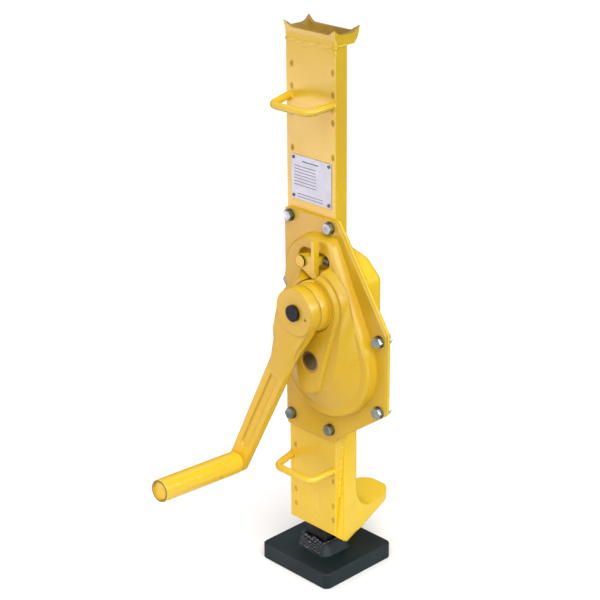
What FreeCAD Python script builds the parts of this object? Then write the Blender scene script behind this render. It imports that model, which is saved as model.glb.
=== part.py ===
import FreeCAD, Part
import math
import os

# Steel rack jack for lifting track.  The toothed rack stands on its foot and stays still.
# The welded housing, with its head, claw, gears and crank, climbs the rack.
# Frame: origin at the middle of the foot's underside, +Z up, -Y towards the crank, +X to the gear side.
# All sizes are millimetres and the jack is drawn fully lowered.

# Foot
foot_side = 124.0
foot_thick = 22.0
foot_corner_radius = 9.0
foot_edge_radius = 2.5
foot_boss_height = 15.0
foot_boss_spread = 9.0
foot_boss_margin = 4.0
foot_socket_depth = 14.0

# Rack, its pinion and the lift
lift = 350.0
rack_width = 36.0
rack_thick = 28.0
rack_module = 5.0
rack_pinion_teeth = 8
rack_addendum = 0.7
rack_backlash = 0.5
stop_gap = 1.0

# Drive gears
gear_module = 3.0
crank_pinion_teeth = 9
drive_gear_teeth = 42
gear_addendum = 0.8
gear_backlash = 0.45
pressure_angle = math.radians(25)
root_clearance = 0.25
flank_steps = 2
gear_thick = 10.0
gear_hub_wall = 10.0
gear_rim = 9.0
gear_web_recess = 2.2

# Column of the housing
column_width = 84.5
column_depth = 19.0
column_front_y = -25.0
column_plate = 4.5
rear_wall = 4.2
housing_bottom_z = 57.0
column_top_z = 709.0

# Shaft places
main_axis_z = 318.0
crank_axis_offset = 4.5

# Head with four horns
head_width = 86.0
head_front_y = -28.0
head_back_y = 15.0
head_height = 21.0
head_dip = 8.0
head_horn_width = 11.0
head_horn_depth = 9.0
head_horn_radius = 14.0
head_wall = 3.5
head_floor = 3.0
head_floor_margin = 9.0
head_base_back_y = 6.0
head_waist_back_y = 12.0
head_waist_height = 7.0

# Claw
claw_height = 145.0
claw_drop = 7.0
claw_top_spread = 0.5
claw_foot_spread = 14.0
claw_cheek_top_depth = 4.0
claw_front_bevel = 11.0
toe_height = 19.0
toe_length = 90.0
toe_nose_radius = 30.0
toe_flat_length = 9.0
toe_tip_thick = 8.0
toe_tip_radius = 3.0
toe_lip_radius = 3.0
toe_fillet = 42.0

# Carry handles
handle_bar_radius = 4.6
handle_root_span = 74.0
handle_front_span = 63.0
handle_reach = 36.0
handle_droop = 4.0
handle_bend_radius = 11.0
upper_handle_drop = 71.0
lower_handle_rise = 95.0

# Nameplate
nameplate_width = 69.0
nameplate_height = 57.0
nameplate_thick = 1.0
nameplate_rise = 41.0
nameplate_x = 1.0
rivet_radius = 2.2
rivet_height = 1.2
rivet_inset = 4.0

# Outline of the gear cover's flange, measured from the main shaft or the column's side
flange_thick = 4.5
flange_top_rise = 178.0
flange_bottom_drop = 121.0
flange_shoulder_margin = 4.75
flange_shoulder_rise = 52.0
flange_hip_drop = 55.0
flange_reach = 96.0
flange_foot_margin = 11.75
flange_foot_width = 10.0
flange_foot_rise = 11.0
flange_corner_radius = 5.0
flange_shoulder_radius = 12.0

# Raised forms of the gear cover, in heights out from the front of the column
cavity_height = 12.5
dome_height = 20.0
cap_height = 32.0
tongue_height = 38.0
ratchet_floor_height = 20.5
pocket_height = 10.0
dome_draft = 2.0
dome_edge_radius = 5.0
dome_offset = 3.5
dome_radius = 79.0
crown_offset = 17.0
crown_rise = 106.0
crown_radius = 52.0
ridge_offset = 2.0
ridge_lead = 39.0
ridge_radius = 13.0
cap_foot_radius = 66.0
cap_top_radius = 34.0
cap_spread = 4.0
tongue_draft = 6.0
tongue_tip_offset = 4.5
tongue_tip_drop = 28.0
tongue_tip_radius = 16.0
tongue_ring_wall = 6.0
pocket_end_drop = 16.0
pocket_end_radius = 10.0
pocket_radius = 15.0
slot_radius = 7.5

# Gear case behind the cover
case_wall = 4.5
case_reach = 51.5
case_top_rise = 140.0
case_bottom_drop = 80.0
case_corner_width = 24.0
case_corner_drop = 12.0
case_shoulder_drop = 34.0
case_corner_radius = 18.0
case_back_margin = 2.0
case_edge_radius = 10.0
boss_wall = 3.5
boss_cap = 2.5

# Cover bolts, washers and nuts
bolt_radius = 4.0
bolt_head_flats = 13.0
bolt_head_height = 5.5
bolt_end = 2.5
washer_radius = 8.0
washer_thick = 1.6
nut_height = 6.5
bolt_inset = 9.5
bolt_foot_inset = 17.0
bolt_column_inset = 5.2
bolt_middle_rise = 83.0
bolt_shoulder_drop = 8.5
bolt_hip_rise = 4.0

# Shafts and bushes
main_front_radius = 11.0
main_seat_radius = 14.0
main_rear_radius = 10.0
crank_collar_radius = 10.0
crank_shaft_radius = 9.0
bush_wall = 3.0
bush_length = 9.0
shaft_recess = 0.8
key_width = 8.0
key_height = 7.0

# Ratchet, brake and pawl
ratchet_teeth = 12
ratchet_radius = 29.0
ratchet_tooth_depth = 5.0
ratchet_thick = 6.0
friction_radius = 25.0
friction_thick = 2.5
brake_flange_radius = 32.0
brake_flange_thick = 6.0
pawl_pivot_offset = 27.0
pawl_pivot_rise = 49.5
pawl_contact_angle = math.radians(98.5)
pawl_eye_radius = 8.5
pawl_nose_radius = 3.0
pawl_pin_radius = 5.0
pawl_pin_head_radius = 7.5
pawl_pin_head = 3.0
pawl_plate_rise = 24.0
pawl_rib_width = 5.0
pawl_rib_start = 8.0
pawl_rib_rise = 48.0
pawl_rib_proud = 3.0
pawl_lug_height = 9.0
spring_radius = 4.0
spring_wire_radius = 0.8
spring_turns = 5
spring_steps = 10
spring_sides = 5

# Crank and grip
crank_radius = 264.0
crank_angle = math.radians(23.9)
crank_lean = 4.55
arm_thick = 9.0
arm_setback = 16.3
arm_hub_width = 36.0
arm_end_width = 28.0
arm_eye_radius = 30.5
arm_eye_thick = 31.0
eye_groove_start = 16.0
eye_groove_width = 1.5
eye_groove_depth = 2.0
arm_neck_recess = 1.5
arm_neck_start = 45.0
arm_neck_end_width = 34.0
arm_neck_length = 80.0
arm_groove_width = 12.0
arm_groove_depth = 2.5
arm_groove_start = 104.0
arm_groove_end = 36.0
end_cap_radius = 10.5
end_cap_height = 4.5
set_screw_radius = 1.6
set_screw_length = 6.0
set_screw_offset = 19.0
set_screw_drop = 4.7
grip_radius = 14.8
grip_length = 131.0
grip_chamfer = 1.5
grip_axle_radius = 8.0
grip_head_radius = 11.8
grip_head_thick = 3.0
grip_head_recess = 1.5
grip_washer_radius = 13.0
grip_washer_thick = 2.0

# Clearances
guide_gap = 0.4
run_gap = 0.06
seat_gap = 0.05
side_gap = 0.3
pinion_gap = 0.5
gear_gap = 1.0
recess_gap = 1.0
hole_gap = 1.5
tooth_room = 3.0
window_room = 4.5
same_point = 1e-6

# Places that follow from the sizes above
column_side_x = column_width / 2
column_inner_x = column_side_x - column_plate
column_inner_y = column_front_y + column_plate
column_back_y = column_front_y + column_depth
rack_half = rack_width / 2
rack_front_y = column_inner_y + guide_gap
rack_back_y = rack_front_y + rack_thick
rack_top_z = column_top_z - stop_gap
rack_pitch_x = rack_half - rack_addendum * rack_module
rack_pitch = math.pi * rack_module
guide_half = rack_half + guide_gap
guide_back_y = rack_back_y + guide_gap
rear_half = guide_half + rear_wall
rear_back_y = guide_back_y + rear_wall
rear_brim_y = column_back_y - rear_wall
claw_top_z = housing_bottom_z + claw_height
claw_bottom_z = housing_bottom_z - claw_drop
toe_top_z = housing_bottom_z + toe_height
toe_tip_y = rear_back_y + toe_length
pinion_radius = rack_module * rack_pinion_teeth / 2
pinion_tip_radius = pinion_radius + rack_addendum * rack_module
pinion_front_y = rack_front_y + pinion_gap
pinion_back_y = rack_back_y - pinion_gap
main_axis_x = rack_pitch_x + pinion_radius
gear_radius = gear_module * drive_gear_teeth / 2
gear_tip_radius = gear_radius + gear_addendum * gear_module
crank_pinion_radius = gear_module * crank_pinion_teeth / 2
crank_pinion_tip = crank_pinion_radius + gear_addendum * gear_module
gear_centres = gear_radius + crank_pinion_radius
crank_axis_x = main_axis_x + crank_axis_offset
crank_axis_z = main_axis_z + math.sqrt(gear_centres ** 2 - crank_axis_offset ** 2)
centre_angle = math.atan2(crank_axis_z - main_axis_z, crank_axis_offset)
window_bottom_z = main_axis_z - pinion_tip_radius - window_room
window_top_z = crank_axis_z + crank_shaft_radius + window_room
flange_y = column_front_y - flange_thick
flange_top_z = main_axis_z + flange_top_rise
flange_bottom_z = main_axis_z - flange_bottom_drop
nameplate_z = flange_top_z + nameplate_rise
upper_handle_z = column_top_z - upper_handle_drop
lower_handle_z = housing_bottom_z + lower_handle_rise
flange_shoulder_x = column_side_x + flange_shoulder_margin
flange_shoulder_z = main_axis_z + flange_shoulder_rise
flange_hip_z = main_axis_z - flange_hip_drop
flange_right_x = main_axis_x + flange_reach
flange_foot_x = column_side_x + flange_foot_margin
cavity_y = column_front_y - cavity_height
dome_y = column_front_y - dome_height
cap_y = column_front_y - cap_height
tongue_y = column_front_y - tongue_height
ratchet_floor_y = column_front_y - ratchet_floor_height
pocket_y = column_front_y - pocket_height
gear_back_y = column_front_y - gear_gap
gear_front_y = gear_back_y - gear_thick
case_flange_y = column_front_y + flange_thick
case_back_y = rear_back_y + case_back_margin
case_inner_y = case_back_y - case_wall
rear_disc_y = ratchet_floor_y - side_gap
ratchet_back_y = rear_disc_y - friction_thick
ratchet_front_y = ratchet_back_y - ratchet_thick
front_disc_y = ratchet_front_y - friction_thick
eye_back_y = front_disc_y - brake_flange_thick
arm_front_y = eye_back_y - arm_eye_thick
bar_front_y = arm_front_y + arm_setback
bar_back_y = bar_front_y + arm_thick
recess_radius = brake_flange_radius + recess_gap
ring_radius = recess_radius + tongue_ring_wall
main_bush_radius = main_front_radius + run_gap + bush_wall
main_rear_bush_radius = main_rear_radius + run_gap + bush_wall
crank_bush_radius = crank_collar_radius + run_gap + bush_wall
crank_rear_bush_radius = crank_shaft_radius + run_gap + bush_wall
case_left_x = main_axis_x - main_rear_bush_radius - boss_wall - hole_gap
ridge_x = crank_axis_x + ridge_offset
crown_z = main_axis_z + crown_rise
ridge_z = crown_z + ridge_lead
pawl_pivot_x = crank_axis_x - pawl_pivot_offset
pawl_pivot_z = crank_axis_z + pawl_pivot_rise
pawl_nose_reach = ratchet_radius + side_gap + pawl_nose_radius
pawl_nose_x = crank_axis_x + pawl_nose_reach * math.cos(pawl_contact_angle)
pawl_nose_z = crank_axis_z + pawl_nose_reach * math.sin(pawl_contact_angle)
pocket_end_x = ridge_x
pocket_end_z = ridge_z - pocket_end_drop
spring_y = pocket_y - spring_radius - spring_wire_radius - side_gap
set_screw_x = crank_axis_x + set_screw_offset
set_screw_z = crank_axis_z - set_screw_drop
grip_x = crank_axis_x - crank_radius * math.sin(crank_angle)
grip_z = crank_axis_z - crank_radius * math.cos(crank_angle)
grip_back_y = bar_front_y - grip_washer_thick - side_gap
grip_front_y = grip_back_y - grip_length
bolt_left_x = bolt_inset - column_side_x
bolt_right_x = flange_right_x - bolt_inset
bolt_column_x = column_side_x - bolt_column_inset
bolt_top_z = flange_top_z - bolt_inset
bolt_bottom_z = flange_bottom_z + bolt_foot_inset
column_bolts = [(bolt_left_x, bolt_top_z), (bolt_left_x, main_axis_z + bolt_middle_rise),
                (bolt_left_x, bolt_bottom_z), (bolt_column_x, bolt_top_z), (bolt_column_x, bolt_bottom_z)]
flange_bolts = [(bolt_right_x, flange_shoulder_z - bolt_shoulder_drop),
                (bolt_right_x, flange_hip_z + bolt_hip_rise)]


def vec(x, y, z):
    return FreeCAD.Vector(x, y, z)


def box(x0, x1, y0, y1, z0, z1):
    return Part.makeBox(x1 - x0, y1 - y0, z1 - z0, vec(x0, y0, z0))


def rod(x, z, radius, y0, y1):
    # Round bar along Y
    return Part.makeCylinder(radius, y1 - y0, vec(x, y0, z), vec(0, 1, 0))


def ring(x, z, outer, inner, y0, y1):
    return rod(x, z, outer, y0, y1).cut(rod(x, z, inner, y0, y1))


def closed(points):
    return Part.makePolygon(points + points[:1])


def slab(wire, move):
    return Part.Face(wire).extrude(move)


def corner_arc(before, corner, after, radius):
    # Start, middle and end of the arc that rounds one corner
    back = (before - corner).normalize()
    ahead = (after - corner).normalize()
    half = back.getAngle(ahead) / 2
    bisector = (back + ahead).normalize()
    middle = corner + bisector * (radius / math.sin(half) - radius)
    return corner + back * (radius / math.tan(half)), middle, corner + ahead * (radius / math.tan(half))


def rounded(points, radii):
    # Closed outline through the corner points, each corner rounded by a tangent arc
    count = len(points)
    arcs = [corner_arc(points[i - 1], points[i], points[(i + 1) % count], radii[i]) for i in range(count)]
    edges = []
    for i, arc in enumerate(arcs):
        if radii[i] > 0:
            edges.append(Part.Arc(*arc).toShape())
        start = arcs[(i + 1) % count][0]
        if not arc[2].isEqual(start, same_point):
            edges.append(Part.LineSegment(arc[2], start).toShape())
    return Part.Wire(edges)


def bent_bar(points, bend_radius, bar_radius):
    # Round bar of straight runs and bends through the corner points
    pieces = []
    start = points[0]
    for before, corner, after in zip(points, points[1:], points[2:]):
        first, middle, last = corner_arc(before, corner, after, bend_radius)
        run = first - start
        pieces.append(Part.makeCylinder(bar_radius, run.Length, start, run))
        centre = middle + (middle - corner).normalize() * bend_radius
        turn = (corner - before).cross(after - corner)
        angle = math.degrees((corner - before).getAngle(after - corner))
        disc = Part.Face(Part.Wire(Part.makeCircle(bar_radius, first, run)))
        pieces.append(disc.revolve(centre, turn, angle))
        start = last
    run = points[-1] - start
    pieces.append(Part.makeCylinder(bar_radius, run.Length, start, run))
    return pieces[0].fuse(pieces[1:])


def belt(circles, y):
    # Outline of a belt stretched round circles (x, z, radius) that are listed anticlockwise
    count = len(circles)
    normals = []
    for i, (x, z, radius) in enumerate(circles):
        next_x, next_z, next_radius = circles[(i + 1) % count]
        span = math.hypot(next_x - x, next_z - z)
        heading = math.atan2(next_z - z, next_x - x)
        normals.append(heading - math.acos((radius - next_radius) / span))
    edges = []
    for i, (x, z, radius) in enumerate(circles):
        first = normals[i - 1]
        sweep = (normals[i] - first) % (2 * math.pi)
        on_arc = [vec(x + radius * math.cos(a), y, z + radius * math.sin(a))
                  for a in (first, first + sweep / 2, first + sweep)]
        edges.append(Part.Arc(*on_arc).toShape())
        next_x, next_z, next_radius = circles[(i + 1) % count]
        leave = vec(next_x + next_radius * math.cos(normals[i]), y,
                    next_z + next_radius * math.sin(normals[i]))
        edges.append(Part.LineSegment(on_arc[2], leave).toShape())
    return Part.Wire(edges)


def grown(circles, amount):
    return [(x, z, radius + amount) for x, z, radius in circles]


def tapered_belt(foot, top, y0, y1):
    # Solid between one belt at y0 and another at y1
    return Part.makeLoft([belt(foot, y0), belt(top, y1)], True, True)


def toothed_wheel(x, z, module, teeth, addendum, backlash, tooth_angle, y0, y1):
    # Spur gear with involute flanks and one tooth centred on tooth_angle
    radius = module * teeth / 2
    base = radius * math.cos(pressure_angle)
    tip = radius + addendum * module
    root = radius - (addendum + root_clearance) * module
    half_pitch = (math.pi * module / 2 - backlash / 2) / (2 * radius)

    def half_angle(rho):
        roll = math.acos(min(1.0, base / rho))
        involute = math.tan(roll) - roll
        return half_pitch + math.tan(pressure_angle) - pressure_angle - involute

    low = max(base, root)
    flank = [low + (tip - low) * i / flank_steps for i in range(flank_steps + 1)]
    points = []
    for tooth in range(teeth):
        centre = tooth_angle + tooth * 2 * math.pi / teeth
        rising = [(rho, centre - half_angle(rho)) for rho in flank]
        falling = [(rho, centre + half_angle(rho)) for rho in reversed(flank)]
        if root < base:
            rising.insert(0, (root, rising[0][1]))
            falling.append((root, falling[-1][1]))
        points += [vec(x + rho * math.cos(a), y0, z + rho * math.sin(a)) for rho, a in rising + falling]
    return slab(closed(points), vec(0, y1 - y0, 0))


def hex_prism(x, z, flats, y0, y1):
    corner = flats / math.sqrt(3)
    points = [vec(x + corner * math.cos(a), y0, z + corner * math.sin(a))
              for a in (math.radians(60 * i) for i in range(6))]
    return slab(closed(points), vec(0, y1 - y0, 0))


def drilled(shape, places, radius, y0, y1):
    for x, z in places:
        shape = shape.cut(rod(x, z, radius, y0, y1))
    return shape


def foot_boss_section(margin, z):
    x1 = rack_half + margin
    y0 = rack_front_y - margin
    y1 = rack_back_y + margin
    return rounded([vec(-x1, y0, z), vec(x1, y0, z), vec(x1, y1, z), vec(-x1, y1, z)], [margin] * 4)


def foot_plate():
    half = foot_side / 2
    corners = [vec(-half, -half, 0), vec(half, -half, 0), vec(half, half, 0), vec(-half, half, 0)]
    plate = slab(rounded(corners, [foot_corner_radius] * 4), vec(0, 0, foot_thick))
    top_face = max(plate.Faces, key=lambda face: face.CenterOfMass.z)
    plate = plate.makeFillet(foot_edge_radius, top_face.Edges)
    boss = Part.makeLoft([foot_boss_section(foot_boss_margin + foot_boss_spread, foot_thick),
                          foot_boss_section(foot_boss_margin, foot_thick + foot_boss_height)], True, True)
    socket = box(-rack_half, rack_half, rack_front_y, rack_back_y,
                 foot_thick - foot_socket_depth, foot_thick + foot_boss_height)
    return plate.fuse(boss).removeSplitter().cut(socket)


def rack():
    # The solid end above the last tooth space is the stop at full lift
    half_space = (rack_pitch + rack_backlash) / 4
    slope = math.tan(pressure_angle)
    at_tip = half_space + rack_addendum * rack_module * slope
    root_depth = (rack_addendum + root_clearance) * rack_module
    at_root = half_space - root_depth * slope
    root_x = rack_pitch_x - root_depth
    y = rack_front_y
    foot_z = foot_thick - foot_socket_depth
    points = [vec(-rack_half, y, foot_z), vec(rack_half, y, foot_z)]
    first_space = -int(pinion_radius / rack_pitch) - 1
    last_space = int(lift / rack_pitch) + 1
    for index in range(first_space, last_space + 1):
        z = main_axis_z + (index + 0.5) * rack_pitch
        points += [vec(rack_half, y, z - at_tip), vec(root_x, y, z - at_root),
                   vec(root_x, y, z + at_root), vec(rack_half, y, z + at_tip)]
    points += [vec(rack_half, y, rack_top_z), vec(-rack_half, y, rack_top_z)]
    return slab(closed(points), vec(0, rack_thick, 0))


def gear_window(y0, y1):
    # Room on the gear side for the rack pinion and the crank shaft
    return box(guide_half, column_side_x, y0, y1, window_bottom_z, window_top_z)


def column_front():
    shape = box(-column_side_x, column_side_x, column_front_y, column_back_y, housing_bottom_z, column_top_z)
    shape = shape.cut(box(-column_inner_x, column_inner_x, column_inner_y, column_back_y,
                          housing_bottom_z, column_top_z))
    shape = shape.cut(gear_window(column_inner_y, column_back_y))
    shape = shape.cut(rod(main_axis_x, main_axis_z, main_seat_radius + hole_gap, column_front_y,
                          column_inner_y))
    shape = shape.cut(rod(crank_axis_x, crank_axis_z, crank_shaft_radius + hole_gap,
                          column_front_y, column_inner_y))
    return drilled(shape, column_bolts, bolt_radius + seat_gap, column_front_y, column_inner_y)


def column_rear():
    crown = box(-rear_half, rear_half, rear_brim_y, rear_back_y, claw_top_z, column_top_z)
    brim = box(-column_inner_x, column_inner_x, rear_brim_y, column_back_y, claw_top_z, column_top_z)
    shape = crown.fuse(brim).removeSplitter()
    shape = shape.cut(box(-guide_half, guide_half, rear_brim_y, guide_back_y, claw_top_z, column_top_z))
    return shape.cut(gear_window(rear_brim_y, guide_back_y))


def head_section(x, y0, y1, z):
    return closed([vec(-x, y0, z), vec(x, y0, z), vec(x, y1, z), vec(-x, y1, z)])


def horn_valley(half, base, low_z, top_z):
    # Corners (sideways, up) of the gap between two horns
    return [(-half, top_z), (base - half, low_z), (half - base, low_z), (half, top_z)]


def head():
    top_z = column_top_z + head_height
    low_z = top_z - head_dip
    waist_z = column_top_z + head_waist_height
    base = head_section(column_side_x, column_front_y, head_base_back_y, column_top_z)
    waist = head_section(column_side_x, column_front_y, head_waist_back_y, waist_z)
    rim = head_section(head_width / 2, head_front_y, head_back_y, top_z)
    lower = Part.makeLoft([base, waist], True, True)
    upper = Part.makeLoft([waist, rim], True, True)
    lid = box(-rear_half, rear_half, column_back_y, rear_back_y, column_top_z, waist_z)
    shape = lower.fuse([upper, lid]).removeSplitter()
    half = head_width / 2
    middle_y = (head_front_y + head_back_y) / 2
    depth = head_back_y - head_front_y
    radii = [0, head_horn_radius, head_horn_radius, 0]
    across = [vec(x, head_front_y, z) for x, z in horn_valley(half, head_horn_width, low_z, top_z)]
    along = [vec(-half, middle_y + y, z) for y, z in horn_valley(depth / 2, head_horn_depth, low_z, top_z)]
    shape = shape.cut(slab(rounded(across, radii), vec(0, depth, 0)))
    shape = shape.cut(slab(rounded(along, radii), vec(head_width, 0, 0)))
    floor_z = column_top_z + head_floor
    margin = head_floor_margin
    floor = head_section(half - margin, head_front_y + margin, head_back_y - margin, floor_z)
    mouth = head_section(half - head_wall, head_front_y + head_wall, head_back_y - head_wall, top_z)
    return shape.cut(Part.makeLoft([floor, mouth], True, True))


def claw_section(z, front_y, spread):
    # The flank on the gear side runs in from the cheek at the front to the back of the rack guide
    return closed([vec(-column_side_x, column_back_y, z), vec(column_side_x, column_back_y, z),
                   vec(column_side_x, front_y, z), vec(column_side_x + spread, front_y, z),
                   vec(column_side_x + claw_top_spread, rear_back_y, z), vec(-column_side_x, rear_back_y, z)])


def tangent_point(point, centre, radius, side):
    # Where a line from the point touches the circle, with side 1 anticlockwise of it and -1 clockwise
    span = point - centre
    angle = math.atan2(span.y, span.x) + side * math.acos(radius / span.Length)
    return centre + vec(radius * math.cos(angle), radius * math.sin(angle), 0)


def claw_toe():
    # What the side view and the plan of the toe have in common
    left = -column_side_x
    right = column_side_x + claw_top_spread
    root_z = toe_top_z + toe_fillet
    side = [vec(left, guide_back_y, claw_bottom_z), vec(left, rear_back_y + toe_flat_length, claw_bottom_z),
            vec(left, toe_tip_y, toe_top_z - toe_tip_thick), vec(left, toe_tip_y, toe_top_z),
            vec(left, rear_back_y, toe_top_z), vec(left, rear_back_y, root_z), vec(left, guide_back_y,
                                                                                   root_z)]
    radii = [0, toe_fillet, toe_tip_radius, toe_lip_radius, toe_fillet, 0, 0]
    shape = slab(rounded(side, radii), vec(right - left, 0, 0))
    nose = vec(0, toe_tip_y - toe_nose_radius, claw_bottom_z)
    right_root = vec(right, rear_back_y, claw_bottom_z)
    left_root = vec(left, rear_back_y, claw_bottom_z)
    right_touch = tangent_point(right_root, nose, toe_nose_radius, 1)
    left_touch = tangent_point(left_root, nose, toe_nose_radius, -1)
    plan = [left_touch, left_root, vec(left, guide_back_y, claw_bottom_z), vec(right, guide_back_y,
                                                                               claw_bottom_z),
            right_root, right_touch]
    edges = [Part.LineSegment(a, b).toShape() for a, b in zip(plan, plan[1:])]
    edges.append(Part.Arc(right_touch, vec(0, toe_tip_y, claw_bottom_z), left_touch).toShape())
    return shape.common(slab(Part.Wire(edges), vec(0, 0, root_z - claw_bottom_z)))


def claw():
    body = Part.makeLoft([claw_section(claw_bottom_z, column_front_y, claw_foot_spread),
                          claw_section(claw_top_z, column_back_y - claw_cheek_top_depth, claw_top_spread)],
                         True, True)
    x = column_side_x
    bevel = closed([vec(x, column_front_y, claw_bottom_z),
                    vec(x, column_front_y + claw_front_bevel, claw_bottom_z),
                    vec(x, column_front_y, housing_bottom_z)])
    body = body.cut(slab(bevel, vec(claw_foot_spread, 0, 0)))
    shape = body.fuse(claw_toe()).removeSplitter()
    return shape.cut(box(-guide_half, guide_half, column_back_y, guide_back_y, claw_bottom_z, claw_top_z))


def carry_handle(z):
    # Bar bent in one plane that hangs a little from its roots
    root = handle_root_span / 2
    front = handle_front_span / 2
    inside = vec(root - front, handle_reach, 0).normalize() * (handle_bar_radius * 2)
    root_y = column_front_y
    front_y = column_front_y - handle_reach
    bar = bent_bar([vec(-root - inside.x, root_y + inside.y, z), vec(-front, front_y, z), vec(front,
                                                                                              front_y, z),
                    vec(root + inside.x, root_y + inside.y, z)], handle_bend_radius, handle_bar_radius)
    droop = math.degrees(math.atan2(handle_droop, handle_reach))
    bar.rotate(vec(0, root_y, z), vec(1, 0, 0), droop)
    room = handle_bar_radius * 4
    return bar.cut(box(-column_width, column_width, root_y, root_y + room, z - room, z + room))


def nameplate():
    dx = nameplate_width / 2
    dz = nameplate_height / 2
    return box(nameplate_x - dx, nameplate_x + dx, column_front_y - nameplate_thick, column_front_y,
               nameplate_z - dz, nameplate_z + dz)


def nameplate_rivets():
    dx = nameplate_width / 2 - rivet_inset
    dz = nameplate_height / 2 - rivet_inset
    y = column_front_y - nameplate_thick
    return Part.makeCompound([rod(nameplate_x + sx * dx, nameplate_z + sz * dz, rivet_radius,
                                  y - rivet_height, y)
                              for sx in (-1, 1) for sz in (-1, 1)])


def flange_outline(y, left_x):
    corners = [vec(left_x, y, flange_top_z), vec(flange_shoulder_x, y, flange_top_z),
               vec(flange_right_x, y, flange_shoulder_z), vec(flange_right_x, y, flange_hip_z),
               vec(flange_foot_x, y, flange_bottom_z + flange_foot_rise),
               vec(flange_foot_x - flange_foot_width, y, flange_bottom_z), vec(left_x, y, flange_bottom_z)]
    small = flange_corner_radius
    wide = flange_shoulder_radius
    return rounded(corners, [small, small, wide, wide, small, small, small])


def gear_cover():
    main = (main_axis_x + dome_offset, main_axis_z, dome_radius)
    ridge = (ridge_x, ridge_z, ridge_radius)
    crown = (crank_axis_x - crown_offset, crown_z, crown_radius)
    flange = slab(flange_outline(flange_y, -column_side_x), vec(0, flange_thick, 0))
    dome_foot = [main, ridge, crown]
    dome = tapered_belt(dome_foot, grown(dome_foot, -dome_draft), flange_y, dome_y)
    dome_top = min(dome.Faces, key=lambda face: face.CenterOfMass.y)
    dome = dome.makeFillet(dome_edge_radius, dome_top.Edges)
    tongue_top = [(crank_axis_x, crank_axis_z, ring_radius),
                  (main_axis_x - tongue_tip_offset, main_axis_z - tongue_tip_drop, tongue_tip_radius)]
    tongue = tapered_belt(grown(tongue_top, tongue_draft), tongue_top, dome_y, tongue_y)
    cap_neck = (crank_axis_x, crank_axis_z, ring_radius + tongue_draft)
    cap = tapered_belt([(main[0], main[1], cap_foot_radius)] + grown([cap_neck], cap_spread),
                       [(main[0], main[1], cap_top_radius), cap_neck], dome_y, cap_y)
    shape = flange.fuse([dome, cap, tongue]).removeSplitter()
    cavity = [(main_axis_x, main_axis_z, gear_tip_radius + tooth_room),
              (crank_axis_x, crank_axis_z, crank_pinion_tip + tooth_room)]
    shape = shape.cut(tapered_belt(cavity, grown(cavity, -hole_gap), column_front_y, cavity_y))
    shape = shape.cut(rod(crank_axis_x, crank_axis_z, recess_radius, tongue_y, ratchet_floor_y))
    shape = shape.cut(pawl_room())
    shape = shape.cut(rod(crank_axis_x, crank_axis_z, crank_bush_radius + seat_gap, ratchet_floor_y,
                          cavity_y))
    shape = shape.cut(rod(main_axis_x, main_axis_z, main_bush_radius + seat_gap, tongue_y, cavity_y))
    shape = shape.cut(rod(pawl_pivot_x, pawl_pivot_z, pawl_pin_radius + seat_gap, pocket_y, column_front_y))
    shape = drilled(shape, column_bolts + flange_bolts, washer_radius + recess_gap, dome_y, flange_y)
    return drilled(shape, column_bolts + flange_bolts, bolt_radius + seat_gap, flange_y, column_front_y)


def pawl_room():
    # Pocket behind the ridge, and the slot through the ratchet's ring wall
    pivot = (pawl_pivot_x, pawl_pivot_z, pocket_radius)
    end = (pocket_end_x, pocket_end_z, pocket_end_radius)
    slot = belt([pivot, (pawl_nose_x, pawl_nose_z, slot_radius), end], tongue_y)
    pocket = slab(belt([pivot, end], tongue_y), vec(0, pocket_y - tongue_y, 0))
    return pocket.fuse(slab(slot, vec(0, ratchet_floor_y - tongue_y, 0)))


def case_outline(y, inset):
    top = main_axis_z + case_top_rise - inset
    bottom = main_axis_z - case_bottom_drop + inset
    right = main_axis_x + case_reach - inset
    inner = right - case_corner_width
    corners = [vec(case_left_x, y, top), vec(inner, y, top - case_corner_drop),
               vec(right, y, top - case_shoulder_drop), vec(right, y, bottom + case_corner_width),
               vec(inner, y, bottom), vec(case_left_x, y, bottom)]
    return rounded(corners, [0] + [case_corner_radius] * 4 + [0])


def rear_boss(x, z, bush_radius, bush_y):
    # Closed boss on the back of the case, and the hole for its bush
    end = bush_y + bush_length + side_gap
    outer = rod(x, z, bush_radius + seat_gap + boss_wall, case_inner_y, end + boss_cap)
    return outer, rod(x, z, bush_radius + seat_gap, bush_y, end)


def gear_case():
    bulge = slab(case_outline(case_flange_y, 0), vec(0, case_back_y - case_flange_y, 0))
    back_face = max(bulge.Faces, key=lambda face: face.CenterOfMass.y)
    rims = [edge for edge in back_face.Edges if edge.BoundBox.XMax > case_left_x + seat_gap]
    bulge = bulge.makeFillet(case_edge_radius, rims)
    flange = slab(flange_outline(column_front_y, 0), vec(0, flange_thick, 0))
    main_boss, main_hole = rear_boss(main_axis_x, main_axis_z, main_rear_bush_radius, rear_back_y)
    crank_boss, crank_hole = rear_boss(crank_axis_x, crank_axis_z, crank_rear_bush_radius, case_inner_y)
    shape = bulge.fuse([flange, main_boss, crank_boss]).removeSplitter()
    shape = shape.cut(slab(case_outline(column_front_y, case_wall), vec(0, case_inner_y - column_front_y, 0)))
    shape = shape.cut(main_hole).cut(crank_hole)
    shape = shape.cut(rod(main_axis_x, main_axis_z, main_rear_radius + hole_gap, case_inner_y, rear_back_y))
    shape = shape.cut(box(0, column_side_x, column_front_y, column_back_y, 0, column_top_z))
    shape = shape.cut(box(0, rear_half, column_back_y, rear_back_y, 0, column_top_z))
    return drilled(shape, flange_bolts, bolt_radius + seat_gap, column_front_y, case_flange_y)


def bolt(x, z, end_y):
    head_y = flange_y - washer_thick
    head_solid = hex_prism(x, z, bolt_head_flats, head_y - bolt_head_height, head_y)
    return head_solid.fuse(rod(x, z, bolt_radius, head_y, end_y))


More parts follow.
